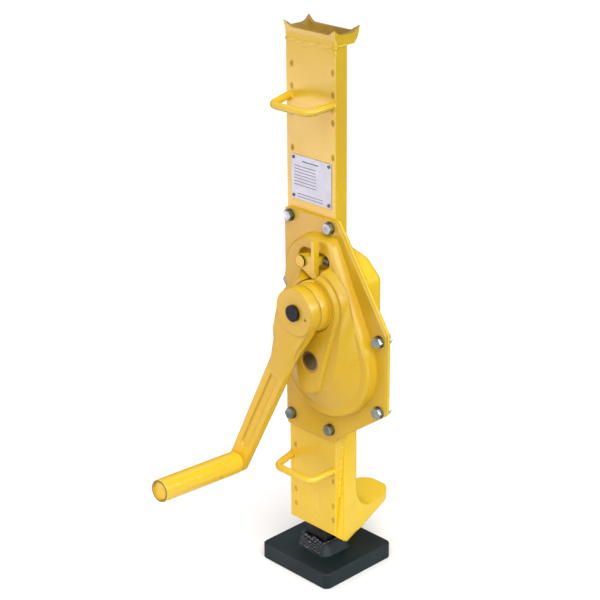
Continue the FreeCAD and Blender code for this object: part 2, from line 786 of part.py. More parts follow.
def cover_bolts():
    short = [bolt(x, z, column_inner_y) for x, z in column_bolts]
    through = [bolt(x, z, case_flange_y + nut_height + bolt_end) for x, z in flange_bolts]
    return Part.makeCompound(short + through)


def cover_washers():
    return Part.makeCompound([ring(x, z, washer_radius, bolt_radius + seat_gap, flange_y - washer_thick,
                                   flange_y)
                              for x, z in column_bolts + flange_bolts])


def flange_nuts():
    end_y = case_flange_y + nut_height
    return Part.makeCompound([hex_prism(x, z, bolt_head_flats, case_flange_y, end_y).cut(
        rod(x, z, bolt_radius + seat_gap, case_flange_y, end_y)) for x, z in flange_bolts])


def gear_key(gap):
    # Key between shaft and gear, on the side of the shaft away from the rack
    half = key_width / 2 + gap
    middle_x = main_axis_x + main_seat_radius
    return box(middle_x - key_height / 2 - gap, middle_x + key_height / 2 + gap, gear_front_y, gear_back_y,
               main_axis_z - half, main_axis_z + half)


def main_shaft():
    shape = rod(main_axis_x, main_axis_z, main_front_radius, tongue_y + shaft_recess, cavity_y + side_gap)
    teeth = toothed_wheel(main_axis_x, main_axis_z, rack_module, rack_pinion_teeth, rack_addendum,
                          rack_backlash,
                          math.pi / rack_pinion_teeth, pinion_front_y, pinion_back_y)
    shape = shape.fuse([
        rod(main_axis_x, main_axis_z, main_seat_radius, cavity_y + side_gap, pinion_front_y), teeth,
        rod(main_axis_x, main_axis_z, main_rear_radius, pinion_back_y, rear_back_y + bush_length)])
    return shape.removeSplitter().cut(gear_key(seat_gap))


def drive_gear():
    shape = toothed_wheel(main_axis_x, main_axis_z, gear_module, drive_gear_teeth, gear_addendum,
                          gear_backlash,
                          centre_angle, gear_front_y, gear_back_y)
    bore = main_seat_radius + seat_gap
    hub = bore + gear_hub_wall
    rim = gear_radius - gear_rim
    shape = shape.cut(rod(main_axis_x, main_axis_z, bore, gear_front_y, gear_back_y))
    shape = shape.cut(ring(main_axis_x, main_axis_z, rim, hub, gear_front_y, gear_front_y + gear_web_recess))
    shape = shape.cut(ring(main_axis_x, main_axis_z, rim, hub, gear_back_y - gear_web_recess, gear_back_y))
    return shape.cut(gear_key(seat_gap))


def crank_shaft():
    x, z = crank_axis_x, crank_axis_z
    teeth = toothed_wheel(x, z, gear_module, crank_pinion_teeth, gear_addendum, gear_backlash,
                          centre_angle + math.pi + math.pi / crank_pinion_teeth, gear_front_y, gear_back_y)
    shape = rod(x, z, crank_shaft_radius, arm_front_y, rear_disc_y)
    shape = shape.fuse([rod(x, z, crank_collar_radius, rear_disc_y, gear_front_y), teeth,
                        rod(x, z, crank_shaft_radius, gear_back_y, case_inner_y + bush_length)])
    return shape.removeSplitter()


def ratchet_wheel():
    points = []
    for tooth in range(ratchet_teeth):
        angle = pawl_contact_angle - tooth * 2 * math.pi / ratchet_teeth
        for radius in (ratchet_radius - ratchet_tooth_depth, ratchet_radius):
            points.append(vec(crank_axis_x + radius * math.cos(angle), ratchet_front_y,
                              crank_axis_z + radius * math.sin(angle)))
    wheel = slab(closed(points), vec(0, ratchet_thick, 0))
    return wheel.cut(rod(crank_axis_x, crank_axis_z, crank_shaft_radius + seat_gap, ratchet_front_y,
                         ratchet_back_y))


def crank_disc(radius, y0, y1):
    return ring(crank_axis_x, crank_axis_z, radius, crank_shaft_radius + seat_gap, y0, y1)


def friction_discs():
    return Part.makeCompound([crank_disc(friction_radius, ratchet_back_y, rear_disc_y),
                              crank_disc(friction_radius, front_disc_y, ratchet_front_y)])


def leaned(shape):
    # The arm leans out from the eye towards the grip, and the grip leans with it
    across = vec(math.cos(crank_angle), 0, -math.sin(crank_angle))
    shape.rotate(vec(crank_axis_x, bar_back_y, crank_axis_z), across, -crank_lean)
    return shape


def arm_bar(start, end, start_width, end_width, y0, y1):
    # Bar with round ends that follows the arm from one distance to another
    ends = []
    for distance, width in ((start, start_width), (end, end_width)):
        x = crank_axis_x - distance * math.sin(crank_angle)
        z = crank_axis_z - distance * math.cos(crank_angle)
        ends.append((x, z, width / 2))
    return slab(belt(ends, y0), vec(0, y1 - y0, 0))


def arm_neck():
    # Neck of the eye's full width that slopes down from just behind the eye's front to the bar
    neck_y = arm_front_y + arm_neck_recess
    neck = arm_bar(0, arm_neck_length, 2 * arm_eye_radius, arm_neck_end_width, neck_y, bar_front_y)
    side_x = crank_axis_x - arm_eye_radius
    start_z = crank_axis_z - arm_neck_start
    end_z = crank_axis_z - arm_neck_length - arm_neck_end_width / 2
    corners = [(neck_y, start_z), (neck_y, end_z), (bar_front_y, end_z)]
    wedge = slab(closed([vec(side_x, y, z) for y, z in corners]), vec(2 * arm_eye_radius, 0, 0))
    wedge.rotate(vec(crank_axis_x, 0, crank_axis_z), vec(0, 1, 0), math.degrees(crank_angle))
    return neck.cut(wedge)


def crank_arm():
    eye = rod(crank_axis_x, crank_axis_z, arm_eye_radius, arm_front_y, eye_back_y)
    eye_groove_y = arm_front_y + eye_groove_start
    eye = eye.cut(ring(crank_axis_x, crank_axis_z, arm_eye_radius, arm_eye_radius - eye_groove_depth,
                       eye_groove_y, eye_groove_y + eye_groove_width))
    bar = arm_bar(0, crank_radius, arm_hub_width, arm_end_width, bar_front_y, bar_back_y)
    groove = arm_bar(arm_groove_start, crank_radius - arm_groove_end, arm_groove_width, arm_groove_width,
                     bar_front_y, bar_front_y + arm_groove_depth)
    bar = bar.cut(groove)
    bar = bar.cut(rod(grip_x, grip_z, grip_axle_radius + seat_gap, bar_front_y, bar_back_y))
    shape = eye.fuse([arm_neck(), leaned(bar)]).removeSplitter()
    shape = shape.cut(rod(crank_axis_x, crank_axis_z, crank_shaft_radius + seat_gap, arm_front_y, eye_back_y))
    return shape.cut(rod(set_screw_x, set_screw_z, set_screw_radius + seat_gap,
                         arm_front_y, arm_front_y + set_screw_length))


def end_cap():
    return rod(crank_axis_x, crank_axis_z, end_cap_radius, arm_front_y - end_cap_height, arm_front_y)


def set_screw():
    return rod(set_screw_x, set_screw_z, set_screw_radius, arm_front_y + shaft_recess,
               arm_front_y + set_screw_length)


def grip_axle():
    head_y = grip_front_y + grip_head_recess
    shape = rod(grip_x, grip_z, grip_axle_radius, head_y, bar_back_y)
    shape = shape.fuse(rod(grip_x, grip_z, grip_head_radius, head_y,
                           head_y + grip_head_thick)).removeSplitter()
    return leaned(shape)


def grip_washer():
    return leaned(ring(grip_x, grip_z, grip_washer_radius, grip_axle_radius + seat_gap,
                       bar_front_y - grip_washer_thick, bar_front_y))


def grip_sleeve():
    tube = rod(grip_x, grip_z, grip_radius, grip_front_y, grip_back_y)
    tube = tube.makeChamfer(grip_chamfer, [edge for face in tube.Faces[1:] for edge in face.Edges])
    tube = tube.cut(rod(grip_x, grip_z, grip_axle_radius + run_gap, grip_front_y, grip_back_y))
    return leaned(tube.cut(rod(grip_x, grip_z, grip_head_radius + side_gap, grip_front_y,
                               grip_front_y + grip_head_recess + grip_head_thick + side_gap)))


def pawl():
    y0 = ratchet_front_y + side_gap
    y1 = ratchet_back_y - side_gap
    half_rib = pawl_rib_width / 2
    plate = slab(belt([(pawl_nose_x, pawl_nose_z, pawl_nose_radius),
                       (pawl_nose_x, pawl_nose_z + pawl_plate_rise, half_rib),
                       (pawl_pivot_x, pawl_pivot_z, pawl_eye_radius)], y0), vec(0, y1 - y0, 0))
    left = pawl_nose_x - half_rib
    right = pawl_nose_x + half_rib
    rib = box(left, right, y0 - pawl_rib_proud, y1, pawl_nose_z + pawl_rib_start, pawl_nose_z + pawl_rib_rise)
    half = pawl_lug_height / 2
    lug = box(left, right, y1, pocket_y - side_gap, pocket_end_z - half, pocket_end_z + half)
    shape = plate.fuse([rib, lug]).removeSplitter()
    return shape.cut(rod(pawl_pivot_x, pawl_pivot_z, pawl_pin_radius + run_gap, y0, y1))


def pawl_pin():
    front_y = ratchet_front_y
    shape = rod(pawl_pivot_x, pawl_pivot_z, pawl_pin_radius, front_y, column_front_y)
    cap = rod(pawl_pivot_x, pawl_pivot_z, pawl_pin_head_radius, front_y - pawl_pin_head, front_y)
    collar = rod(pawl_pivot_x, pawl_pivot_z, pawl_pin_head_radius, ratchet_back_y, pocket_y)
    return shape.fuse([cap, collar]).removeSplitter()


def pawl_spring():
    # Coil between the pawl's lug and the ridge, drawn with few straight steps
    start_x = pawl_nose_x + pawl_rib_width / 2 + side_gap + spring_wire_radius
    reach = spring_radius + spring_wire_radius
    end_x = pocket_end_x + math.sqrt(pocket_end_radius ** 2 - reach ** 2) - side_gap - spring_wire_radius
    sections = []
    steps = spring_turns * spring_steps
    for step in range(steps + 1):
        turn = 2 * math.pi * step / spring_steps
        x = start_x + (end_x - start_x) * step / steps
        points = []
        for side in range(spring_sides):
            angle = 2 * math.pi * side / spring_sides
            radius = spring_radius + spring_wire_radius * math.cos(angle)
            points.append(vec(x + spring_wire_radius * math.sin(angle), spring_y + radius * math.cos(turn),
                              pocket_end_z + radius * math.sin(turn)))
        sections.append(closed(points))
    return Part.makeLoft(sections, True, True)


def build():
    main = (main_axis_x, main_axis_z)
    crank = (crank_axis_x, crank_axis_z)
    rear_end_y = rear_back_y + bush_length
    parts = {
        "foot_plate": foot_plate(),
        "rack": rack(),
        "column_front": column_front(),
        "column_rear": column_rear(),
        "head": head(),
        "claw": claw(),
        "upper_handle": carry_handle(upper_handle_z),
        "lower_handle": carry_handle(lower_handle_z),
        "nameplate": nameplate(),
        "nameplate_rivets": nameplate_rivets(),
        "gear_cover": gear_cover(),
        "gear_case": gear_case(),
        "cover_bolts": cover_bolts(),
        "cover_washers": cover_washers(),
        "flange_nuts": flange_nuts(),
        "main_shaft": main_shaft(),
        "drive_gear": drive_gear(),
        "gear_key": gear_key(0),
        "main_front_bush": ring(*main, main_bush_radius, main_front_radius + run_gap,
                                tongue_y + shaft_recess, cavity_y),
        "main_rear_bush": ring(*main, main_rear_bush_radius, main_rear_radius + run_gap, rear_back_y,
                               rear_end_y),
        "crank_front_bush": ring(*crank, crank_bush_radius, crank_collar_radius + run_gap,
                                 ratchet_floor_y, cavity_y),
        "crank_rear_bush": ring(*crank, crank_rear_bush_radius, crank_shaft_radius + run_gap,
                                case_inner_y, case_inner_y + bush_length),
        "crank_shaft": crank_shaft(),
        "ratchet_wheel": ratchet_wheel(),
        "friction_discs": friction_discs(),
        "brake_flange": crank_disc(brake_flange_radius, eye_back_y, front_disc_y),
        "crank_arm": crank_arm(),
        "end_cap": end_cap(),
        "set_screw": set_screw(),
        "grip_axle": grip_axle(),
        "grip_washer": grip_washer(),
        "grip_sleeve": grip_sleeve(),
        "pawl": pawl(),
        "pawl_pin": pawl_pin(),
        "pawl_spring": pawl_spring(),
    }
    os.makedirs("parts", exist_ok=True)
    for name, shape in parts.items():
        print(name, "valid" if shape.isValid() else "INVALID", len(shape.Solids), round(shape.Volume))
        shape.exportStep("parts/" + name + ".step")


build()
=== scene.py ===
# %% [markdown]
# # Looks of a track jack
# This jack lifts railway track. A toothed rack stands on a black foot, and a yellow welded housing
# climbs it when the crank is turned. The shapes come from the imported model, so this lesson paints
# them, softens their edges and adds weld beads, a darker skin in the head's bowl, painted shade at the grip's
# end and round the pawl's pin, and a bare plate.

import math
import bmesh
import bpy
from mathutils import Matrix, Vector


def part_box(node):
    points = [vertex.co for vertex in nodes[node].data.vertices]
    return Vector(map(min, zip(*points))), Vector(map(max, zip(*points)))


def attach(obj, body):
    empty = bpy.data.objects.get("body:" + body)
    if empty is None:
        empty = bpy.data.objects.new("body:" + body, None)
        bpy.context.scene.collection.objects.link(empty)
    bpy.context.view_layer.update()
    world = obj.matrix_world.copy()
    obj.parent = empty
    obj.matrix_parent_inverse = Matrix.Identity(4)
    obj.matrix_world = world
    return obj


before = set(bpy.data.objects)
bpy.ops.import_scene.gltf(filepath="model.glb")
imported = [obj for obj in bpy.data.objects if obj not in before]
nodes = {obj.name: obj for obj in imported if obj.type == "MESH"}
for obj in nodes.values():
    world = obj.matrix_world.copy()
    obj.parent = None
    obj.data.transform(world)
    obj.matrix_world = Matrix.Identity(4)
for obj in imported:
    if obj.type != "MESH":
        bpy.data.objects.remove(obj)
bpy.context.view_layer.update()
MM = 0.001

# %% [markdown]
# ## Building with nodes
# A material is a small graph of nodes. These helpers keep the graphs short: they add a node and set its
# inputs, start a named group with its sockets, mix colours, add values and stretch a value from one
# range to another. Patterns read Object coordinates, which stay with the piece when it moves.

# %% Helpers for node graphs


def add_node(tree, kind, **inputs):
    node = tree.nodes.new(kind)
    for name, value in inputs.items():
        node.inputs[name.replace("_", " ")].default_value = value
    return node


def add_noise(tree, place, **inputs):
    noise = add_node(tree, "ShaderNodeTexNoise", **inputs)
    tree.links.new(place, noise.inputs["Vector"])
    return noise.outputs["Fac"]


def add_values(tree, first, second):
    total = tree.nodes.new("ShaderNodeMath")
    tree.links.new(first, total.inputs[0])
    tree.links.new(second, total.inputs[1])
    return total.outputs["Value"]


def mix_colours(tree, factor, first, second):
    mix = tree.nodes.new("ShaderNodeMix")
    mix.data_type = "RGBA"
    tree.links.new(factor, mix.inputs["Factor"])
    tree.links.new(first, mix.inputs[6])
    tree.links.new(second, mix.inputs[7])
    return mix.outputs[2]


def spread(tree, value, given, wanted):
    low, high = given
    new_low, new_high = wanted
    ramp = add_node(tree, "ShaderNodeMapRange", From_Min=low, From_Max=high, To_Min=new_low, To_Max=new_high)
    tree.links.new(value, ramp.inputs["Value"])
    return ramp.outputs["Result"]


def start_group(name, inputs, outputs):
    tree = bpy.data.node_groups.new(name, "ShaderNodeTree")
    for socket, kind, value in inputs:
        made = tree.interface.new_socket(socket, in_out="INPUT", socket_type=kind)
        made.default_value = value
    for socket, kind in outputs:
        tree.interface.new_socket(socket, in_out="OUTPUT", socket_type=kind)
    return tree, tree.nodes.new("NodeGroupInput"), tree.nodes.new("NodeGroupOutput")


look_outputs = [("Color", "NodeSocketColor"), ("Roughness", "NodeSocketFloat"), ("Height", "NodeSocketFloat")]
print("each look gives:", ", ".join(socket for socket, kind in look_outputs))

# %% [markdown]
# ## Sprayed paint
# The housing was sprayed in one coat over mill scale, castings and welds. Such paint has a fine
# orange peel, wide clouds where the coat is thicker, and on castings the sand still shows through.
# Each could be drawn in every material, but one group makes all three, so that a painted part only
# chooses how much it gets.

# %% Paint group


def make_paint_group():
    inputs = [
        ("Paint", "NodeSocketColor", (0.8, 0.5, 0.03, 1)),
        ("Thick Coat", "NodeSocketColor", (0.7, 0.4, 0.02, 1)),
        ("Base Roughness", "NodeSocketFloat", 0.35),
        ("Sand", "NodeSocketFloat", 0.0),
    ]
    tree, start, end = start_group("sprayed_paint", inputs, look_outputs)
    place = tree.nodes.new("ShaderNodeTexCoord").outputs["Object"]
    clouds = add_noise(tree, place, Scale=14.0, Detail=4.0, Roughness=0.6)
    peel = add_noise(tree, place, Scale=420.0, Detail=2.0)
    sand = add_noise(tree, place, Scale=130.0, Detail=5.0, Roughness=0.65)
    coat = spread(tree, clouds, (0.35, 0.7), (0.0, 1.0))
    colour = mix_colours(tree, coat, start.outputs["Paint"], start.outputs["Thick Coat"])
    dullness = spread(tree, clouds, (0.3, 0.7), (-0.05, 0.08))
    grain = tree.nodes.new("ShaderNodeMath")
    grain.operation = "MULTIPLY_ADD"
    tree.links.new(sand, grain.inputs[0])
    tree.links.new(start.outputs["Sand"], grain.inputs[1])
    tree.links.new(peel, grain.inputs[2])
    tree.links.new(colour, end.inputs["Color"])
    tree.links.new(add_values(tree, start.outputs["Base Roughness"], dullness), end.inputs["Roughness"])
    tree.links.new(grain.outputs["Value"], end.inputs["Height"])
    return tree


paint_group = make_paint_group()
print("paint group:", len(paint_group.nodes), "nodes")

# %% [markdown]
# ## Bare metal
# Bolts, shafts and the plate are bare or plated. Metal is told by its reflections, and with one even
# gloss it would look like plastic. So the group varies roughness in fine scratches and lays a darker
# stain in patches of handling and oil.

# %% Metal group


def make_metal_group():
    inputs = [
        ("Metal", "NodeSocketColor", (0.7, 0.7, 0.7, 1)),
        ("Stain", "NodeSocketColor", (0.4, 0.4, 0.4, 1)),
        ("Base Roughness", "NodeSocketFloat", 0.3),
    ]
    tree, start, end = start_group("bare_metal", inputs, look_outputs)
    place = tree.nodes.new("ShaderNodeTexCoord").outputs["Object"]
    patches = add_noise(tree, place, Scale=60.0, Detail=4.0)
    scratches = add_noise(tree, place, Scale=900.0, Detail=2.0)
    stain_and_shade = spread(tree, patches, (0.4, 0.7), (0.0, 1.0))
    colour = mix_colours(tree, stain_and_shade, start.outputs["Metal"], start.outputs["Stain"])
    scuffed = spread(tree, scratches, (0.3, 0.7), (-0.06, 0.1))
    tree.links.new(colour, end.inputs["Color"])
    tree.links.new(add_values(tree, start.outputs["Base Roughness"], scuffed), end.inputs["Roughness"])
    tree.links.new(scratches, end.inputs["Height"])
    return tree


metal_group = make_metal_group()
print("metal group:", len(metal_group.nodes), "nodes")

# %% [markdown]
# ## Making a finish
# A finish places one of the groups in a material, sets its colours and joins it to the shader. The
# relief, in millimetres, goes through a Bump node and says how deep the peel or the sand is. A rounding,
# also in millimetres, adds a Bevel node that softens the light on edges where a mesh stays sharp.

# %% Helper that makes a finish
finishes = {}
bump_strength = 0.6


def add_finish(group, name, colours, roughness, relief, metallic=0.0, specular=0.5, sand=0.0, rounding=0.0):
    material = bpy.data.materials.new(name)
    material.use_nodes = True
    tree = material.node_tree
    shader = tree.nodes["Principled BSDF"]
    shader.inputs["Metallic"].default_value = metallic
    shader.inputs["Specular IOR Level"].default_value = specular
    look = tree.nodes.new("ShaderNodeGroup")
    look.node_tree = group
    for socket, colour in enumerate(colours):
        look.inputs[socket].default_value = (*colour, 1)
    look.inputs["Base Roughness"].default_value = roughness
    if sand > 0:
        look.inputs["Sand"].default_value = sand
    bump = add_node(tree, "ShaderNodeBump", Strength=bump_strength, Distance=relief * MM)
    if rounding > 0:
        edge = add_node(tree, "ShaderNodeBevel", Radius=rounding * MM)
        tree.links.new(edge.outputs["Normal"], bump.inputs["Normal"])
    tree.links.new(look.outputs["Color"], shader.inputs["Base Color"])
    tree.links.new(look.outputs["Roughness"], shader.inputs["Roughness"])
    tree.links.new(look.outputs["Height"], bump.inputs["Height"])
    tree.links.new(bump.outputs["Normal"], shader.inputs["Normal"])
    finishes[name] = material
    print("finish", name)


print("every finish has a bump strength of", bump_strength)

# %% [markdown]
# ## Yellow coats
# All of the yellow is one paint, and each kind of surface shows its own skin through the coat. So each kind
# gets its own amount of sand and a pair of yellows, for the plain and the thick coat: on castings and on
# the crank a darker copy of the paint as painted shade, on forgings a lighter copy as painted light.

# %% Yellow coats
plate_yellows = ((0.84, 0.565, 0.016), (0.79, 0.505, 0.012))
# The cast and the crank pairs are darker copies of the plate yellow, as painted shade
shaded_cast_yellows = ((0.71, 0.45, 0.013), (0.66, 0.395, 0.010))
shaded_crank_yellows = ((0.78, 0.50, 0.015), (0.74, 0.45, 0.012))
# The forged pair is a lighter copy of the plate yellow, as painted light
lit_forged_yellows = ((0.92, 0.63, 0.016), (0.88, 0.57, 0.012))
add_finish(paint_group, "yellow_paint", plate_yellows, roughness=0.30, relief=0.12, specular=0.8, sand=0.4)
add_finish(paint_group, "folded_yellow", plate_yellows, roughness=0.30, relief=0.12, specular=0.8, sand=0.4,
           rounding=3.5)
add_finish(paint_group, "shaded_cast_yellow", shaded_cast_yellows, roughness=0.30, relief=0.25, specular=0.6, sand=1.2,
           rounding=2.5)
add_finish(paint_group, "shaded_crank_yellow", shaded_crank_yellows, roughness=0.30, relief=0.2, specular=0.8, sand=0.8,
           rounding=4.0)
add_finish(paint_group, "lit_forged_yellow", lit_forged_yellows, roughness=0.30, relief=0.2, specular=0.4, sand=0.8,
           rounding=4.0)

# %% [markdown]
# ## Black and darker paints
# The foot and its weld are black, and the crank's cap a little blue. Darker browns and olives are painted
# shade in the plug welds' cups, on the rim of the grip's end and round the pawl's pin, and the head's bowl
# gets a darker brown. The same group serves, with darker pairs of colours, and it does for the brake's
# linings and the lines on the plate as well.

# %% Dark coats
add_finish(paint_group, "black_foot", ((0.009, 0.021, 0.026), (0.005, 0.013, 0.016)), roughness=0.42,
           relief=0.2, specular=0.26, sand=0.8)
add_finish(paint_group, "glossy_black", ((0.008, 0.012, 0.014), (0.004, 0.006, 0.008)), roughness=0.2,
           relief=0.4, specular=0.7, sand=1.2)
add_finish(paint_group, "black_cap", ((0.004, 0.009, 0.022), (0.003, 0.006, 0.013)), roughness=0.22,
           relief=0.05, specular=0.3, sand=0.2)
# A darker yellow, painted shade in the plug welds' cups
add_finish(paint_group, "plug_shade_paint", ((0.64, 0.39, 0.02), (0.46, 0.27, 0.018)), roughness=0.42,
           relief=0.3, sand=1.0)
# A dark olive, painted shade on the rim of the grip's end
add_finish(paint_group, "rim_shade_olive", ((0.26, 0.19, 0.03), (0.18, 0.13, 0.025)), roughness=0.5,
           relief=0.1, sand=0.5)
# A darker brown for the faces of the head's bowl that look upwards
add_finish(paint_group, "dark_bowl_brown", ((0.42, 0.26, 0.03), (0.28, 0.17, 0.022)), roughness=0.5,
           relief=0.15, sand=0.8)
# Near black, painted shade round the pawl's pin
add_finish(paint_group, "pin_shade_dark", ((0.05, 0.032, 0.010), (0.03, 0.02, 0.007)), roughness=0.55,
           relief=0.05, specular=0.2, sand=0.5)
add_finish(paint_group, "brake_lining", ((0.16, 0.12, 0.09), (0.09, 0.07, 0.06)), roughness=0.85,
           relief=0.2, sand=1.0)
add_finish(paint_group, "grey_print", ((0.20, 0.20, 0.25), (0.26, 0.26, 0.31)), roughness=0.6, relief=0.02)

# %% [markdown]
# ## Steel, zinc and bronze
# The bolts are zinc plated, the rack is dark rolled steel, the shafts are oily and the bushes bronze.
# The plate is matt and only half metallic, so that it stays pale from every side.

# %% Metals
add_finish(metal_group, "dark_rack_steel", ((0.07, 0.07, 0.075), (0.03, 0.028, 0.025)), roughness=0.4,
           relief=0.05, metallic=1.0)
add_finish(metal_group, "plain_plate", ((0.51, 0.57, 0.62), (0.45, 0.505, 0.55)), roughness=0.42,
           relief=0.02, metallic=0.5)
# Dark metal for the rivets, and on the washers painted shade round the bolt heads
add_finish(metal_group, "dark_rivet", ((0.16, 0.15, 0.14), (0.07, 0.06, 0.05)), roughness=0.4,
           relief=0.02, metallic=0.9)
add_finish(metal_group, "zinc_plate", ((0.34, 0.40, 0.41), (0.14, 0.17, 0.18)), roughness=0.25,
           relief=0.03, metallic=1.0)
add_finish(metal_group, "machined_steel", ((0.17, 0.15, 0.08), (0.07, 0.062, 0.034)), roughness=0.45,
           relief=0.04, metallic=1.0)
add_finish(metal_group, "bronze", ((0.50, 0.33, 0.13), (0.22, 0.14, 0.06)), roughness=0.38,
           relief=0.04, metallic=1.0)
add_finish(metal_group, "spring_steel", ((0.30, 0.27, 0.20), (0.14, 0.11, 0.07)), roughness=0.35,
           relief=0.02, metallic=1.0)

# %% [markdown]
# ## Dressing the model's own parts
# Each part of the model keeps its shape and gets its finish. Its mesh is loose triangles, so a Weld
# modifier joins them, a planar Decimate turns flat triangles into whole faces, and a Bevel then
# rounds the edges a little, as paint and grinding do on the real jack. Where an edge of zero is given,
# the mesh stays as it is. The front channel has small holes that would hold its Bevel back to nothing,
# so there the Bevel works only on a vertex group of its two long corners.

# %% Helpers that dress a part
touching = 0.01
flat_angle = 0.5


def dress(name, finish, edge=0.6, segments=2, angle=32):
    part = nodes[name]
    part.data.materials.clear()
    part.data.materials.append(finishes[finish])
    if edge > 0:
        part.modifiers.new("joined", "WELD").merge_threshold = touching * MM
        flat = part.modifiers.new("whole_faces", "DECIMATE")
        flat.decimate_type = "DISSOLVE"
        flat.angle_limit = math.radians(flat_angle)
        soft = part.modifiers.new("soft_edge", "BEVEL")
        soft.width = edge * MM
        soft.segments = segments
        soft.limit_method = "ANGLE"
        soft.angle_limit = math.radians(angle)
        soft.harden_normals = True
    return part


def round_front_corners(name, finish, width, segments):
    part = dress(name, finish, edge=width, segments=segments)
    low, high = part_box(name)
    corners = part.vertex_groups.new(name="long_corners")
    for vert in part.data.vertices:
        from_side = min(vert.co.x - low.x, high.x - vert.co.x)
        from_front = vert.co.y - low.y
        if max(from_side, from_front) < touching * MM:
            corners.add([vert.index], 1.0, "REPLACE")
    soft = part.modifiers["soft_edge"]
    soft.limit_method = "VGROUP"
    soft.vertex_group = corners.name


print("parts to dress:", len(nodes))

# %% [markdown]
# ## The painted parts
# Cut plate has a small edge, and the forged claw, the head and the foot have larger ones. The grip and
# the cover are rounded or chamfered in the model already, and the rear channel gets its soft folds from
# its finish, so these three keep their meshes. The thin linings of the brake keep theirs too.

# %% Painted parts
for name in ("upper_handle", "lower_handle", "brake_flange", "grip_axle", "grip_washer", "pawl", "pawl_pin"):
    dress(name, "yellow_paint")
dress("grip_sleeve", "yellow_paint", edge=0)
dress("head", "yellow_paint", edge=1.6, segments=3)
round_front_corners("column_front", "yellow_paint", width=3.4, segments=5)
dress("column_rear", "folded_yellow", edge=0)
# The cover and the crank get yellows with painted shade, the claw and the case one with painted light
dress("gear_cover", "shaded_cast_yellow", edge=0)
dress("crank_arm", "shaded_crank_yellow", edge=1.2, segments=3, angle=14)
dress("claw", "lit_forged_yellow", edge=2.5, segments=4)
dress("gear_case", "lit_forged_yellow", edge=1.2, segments=3)
dress("foot_plate", "black_foot", edge=2.6, segments=4)
dress("end_cap", "black_cap", edge=0.8, segments=3)
dress("friction_discs", "brake_lining", edge=0)
print("softened parts:", sum(bool(part.modifiers) for part in nodes.values()))

# %% [markdown]
# ## The metal parts
# Bolts, shafts and bushes are turned or cut, and the plate is thin sheet, so their Bevel is half a
# millimetre or less. That is enough for an edge to catch a line of light, as a clean cut does. The
# spring is a round wire with hardly an edge, so its mesh stays as it is.

# %% Metal parts
dress("rack", "dark_rack_steel", edge=0.4)
dress("nameplate", "plain_plate", edge=0.2)
dress("nameplate_rivets", "dark_rivet", edge=0.5)
# The washers are darkened as painted shade round the bolt heads
dress("cover_washers", "dark_rivet", edge=0.3)
dress("pawl_spring", "spring_steel", edge=0)
for name in ("cover_bolts", "flange_nuts"):
    dress(name, "zinc_plate", edge=0.5)
for name in ("main_shaft", "drive_gear", "gear_key", "crank_shaft", "ratchet_wheel", "set_screw"):
    dress(name, "machined_steel", edge=0.3)
for name in ("main_front_bush", "main_rear_bush", "crank_front_bush", "crank_rear_bush"):
    dress(name, "bronze", edge=0.3)
print("softened parts:", sum(bool(part.modifiers) for part in nodes.values()))

# %% [markdown]
# ## New pieces
# Every added piece is made in a bmesh, gets a finish and rides on the body that carries
# it. Its object stays at the origin, with its place in the mesh. Places are worked out in millimetres
# from the boxes of the model's parts.

# %% Helpers for pieces


def box_mm(name):
    return [Vector(corner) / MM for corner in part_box(name)]


def middle_of(name):
    low, high = box_mm(name)
    return (low + high) / 2


def keep_piece(mesh, name, finish, body):
    bmesh.ops.recalc_face_normals(mesh, faces=mesh.faces)
    data = bpy.data.meshes.new(name)
    mesh.to_mesh(data)
    mesh.free()
    data.shade_smooth()
    data.materials.append(finishes[finish])
    piece = bpy.data.objects.new(name, data)
    bpy.context.scene.collection.objects.link(piece)
    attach(piece, body)
    print(name, len(data.polygons), "faces")
    return piece


(left_x, front_y, bottom_z), (side_x, back_y, top_z) = box_mm("column_front")
print("front channel:", round(side_x - left_x, 1), "mm wide,", round(top_z - bottom_z, 1), "mm tall")

# %% [markdown]
# ## Weld beads
# A hand weld is a row of overlapping scales, one for each pause of the torch. Low spheres set close
# together along the seam give just that. No two scales are alike, so a sum of sine waves makes each a
# little larger or smaller than the last and lets the row wander, as the welder's hand does, and the
# result is still the same at every run.

# %% Helpers for welds


def uneven(step, *waves):
    return sum(share * math.sin(step * pace) for share, pace in waves)


def weld_scale(mesh, place, radius, squeeze=(1, 1, 1)):
    shape = Matrix.Translation(Vector(place) * MM) @ Matrix.Diagonal((*squeeze, 1))
    bmesh.ops.create_uvsphere(mesh, u_segments=8, v_segments=5, radius=radius * MM, matrix=shape)


def bead(mesh, start, end, width, pitch, wander=0.0):
    start, end = Vector(start), Vector(end)
    count = max(2, round((end - start).length / pitch))
    for step in range(count + 1):
        aside = Vector((0, uneven(step, (wander, 0.8)), 0))
        girth = 1.0 + uneven(step, (0.16, 2.4), (0.10, 5.1))
        weld_scale(mesh, start.lerp(end, step / count) + aside, width * girth / 2)


def round_bead(mesh, centre, radius, width, pitch):
    count = round(2 * math.pi * radius / pitch)
    for step in range(count):
        angle = 2 * math.pi * step / count
        spoke = Vector((math.cos(angle), 0, math.sin(angle))) * radius
        girth = 1.0 + uneven(step, (0.15, 2.7))
        weld_scale(mesh, Vector(centre) + spoke, width * girth / 2)


print("weld helpers ready")

# %% [markdown]
# ## Seams of the housing
# One bead runs down the edge of the claw's cheek and stops after about two thirds of the way. A thinner
# one closes the side of the head, and a ring of scales goes round each root of the two handles. The
# seams could be bent tubes, but a tube shows none of the scales that make a weld look like one.

